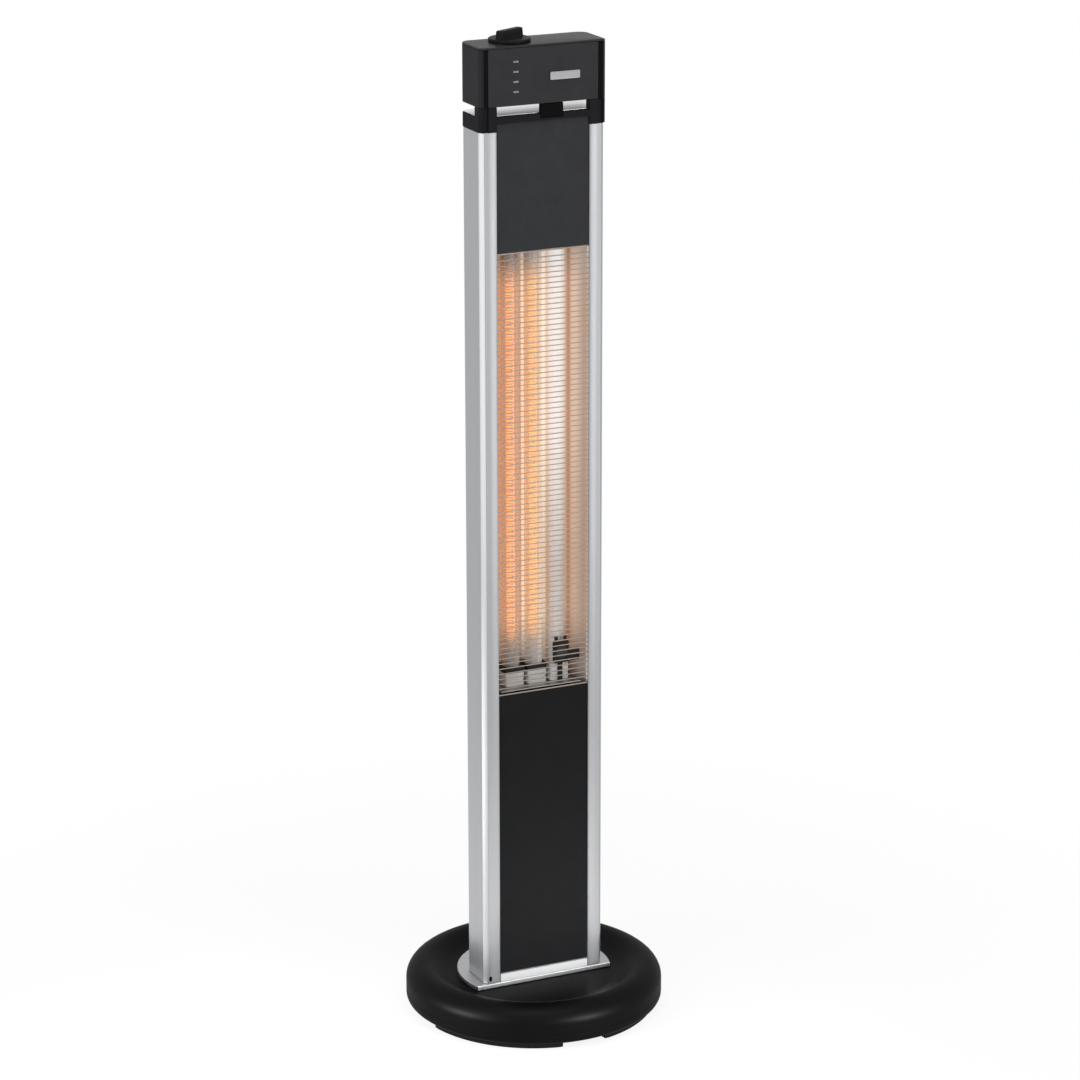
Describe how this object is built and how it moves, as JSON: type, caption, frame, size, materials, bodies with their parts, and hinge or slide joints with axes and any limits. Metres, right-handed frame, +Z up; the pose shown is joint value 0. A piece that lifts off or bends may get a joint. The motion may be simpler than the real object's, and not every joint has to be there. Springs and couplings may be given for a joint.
{
  "type": "infrared patio heater tower",
  "caption": "Free-standing infrared heater: slim aluminium column with quartz tubes behind a wire grille, round black base, and a control head with a rotary knob.",
  "frame": {"origin": "on the floor, under the middle of the round base", "axes": "+Z is up along the column; -Y is the front, where the heating window faces; +X is to the right when facing the front"},
  "size_m": [0.3, 0.3, 1.152],
  "materials": {
    "base_plastic": "black moulded plastic, fine grain, soft sheen",
    "plate_steel": "black painted sheet steel",
    "ballast_iron": "rough casting",
    "fastener_steel": "zinc plated",
    "foot_rubber": "matte black rubber",
    "inner_plastic": "black moulded plastic",
    "foot_plate_aluminium": "satin cast plate",
    "profile_aluminium": "satin anodised extrusion",
    "lower_panel_paint": "near-black satin paint",
    "upper_panel_paint": "dark grey satin paint",
    "rear_cover_paint": "dark satin paint",
    "grille_steel": "bright plated wire",
    "lit_quartz": "hot quartz tube",
    "unlit_quartz": "milky quartz tube",
    "lit_coil": "glowing resistance coil",
    "unlit_coil": "cold resistance coil",
    "end_ceramic": "unglazed white ceramic",
    "reflector_aluminium": "polished reflector sheet",
    "shield_aluminium": "bright rolled sheet",
    "bracket_steel": "bright sheet steel",
    "head_plastic": "black moulded plastic, fine grain",
    "fascia_plastic": "black satin fascia",
    "head_top_plastic": "black moulded plastic",
    "window_gloss": "glossy black receiver window",
    "indicator_lens": "clear frosted lens",
    "badge_steel": "blank brushed plate",
    "board_resin": "green circuit board",
    "knob_plastic": "black satin knob",
    "gland_plastic": "black nylon",
    "loom_rubber": "black sleeve"
  },
  "bodies": {
    "tower": {"base_cover": "base_plastic", "base_bottom_plate": "plate_steel", "base_ballast": "ballast_iron", "base_bolt_1": "fastener_steel", "base_bolt_2": "fastener_steel", "base_bolt_3": "fastener_steel", "base_bolt_4": "fastener_steel", "foot_arc_1": "foot_rubber", "foot_arc_2": "foot_rubber", "foot_arc_3": "foot_rubber", "foot_arc_4": "foot_rubber", "tip_switch": "inner_plastic", "foot_plate": "foot_plate_aluminium", "side_profile_left": "profile_aluminium", "side_profile_right": "profile_aluminium", "bottom_rail": "profile_aluminium", "lower_front_panel": "lower_panel_paint", "upper_front_panel": "upper_panel_paint", "rear_cover": "rear_cover_paint", "rear_screw_1": "fastener_steel", "rear_screw_2": "fastener_steel", "rear_screw_3": "fastener_steel", "rear_screw_4": "fastener_steel", "grille": "grille_steel", "quartz_tube_1": "lit_quartz", "quartz_tube_2": "lit_quartz", "quartz_tube_3": "unlit_quartz", "heating_coil_1": "lit_coil", "heating_coil_2": "lit_coil", "heating_coil_3": "unlit_coil", "lower_end_cap_1": "end_ceramic", "lower_end_cap_2": "end_ceramic", "lower_end_cap_3": "end_ceramic", "upper_end_cap_1": "end_ceramic", "upper_end_cap_2": "end_ceramic", "upper_end_cap_3": "end_ceramic", "reflector": "reflector_aluminium", "lower_bracket": "bracket_steel", "upper_bracket": "bracket_steel", "thermal_cutout": "inner_plastic", "collar": "head_plastic", "heat_shield": "shield_aluminium", "receiver_window": "window_gloss", "cable_stem": "inner_plastic", "head_body": "head_plastic", "head_fascia": "fascia_plastic", "head_top_cover": "head_top_plastic", "indicator_1": "indicator_lens", "indicator_2": "indicator_lens", "indicator_3": "indicator_lens", "indicator_4": "indicator_lens", "blank_badge": "badge_steel", "control_board": "board_resin", "rotary_switch": "inner_plastic", "terminal_block": "end_ceramic", "cable_gland": "gland_plastic", "wiring_loom": "loom_rubber"},
    "mode_knob": {"knob": "knob_plastic", "knob_shaft": "fastener_steel"},
    "tip_pin": {"tip_plunger": "fastener_steel"}
  },
  "joints": [
    {"name": "knob_turn", "type": "hinge", "parent": "tower", "child": "mode_knob", "pos_m": [-0.028, -0.002, 1.1393], "axis": [0, 0, 1], "range_deg": [-45, 90]},
    {"name": "plunger_drop", "type": "slide", "parent": "tower", "child": "tip_pin", "axis": [0, 0, 1], "range_m": [-0.008, 0]}
  ]
}
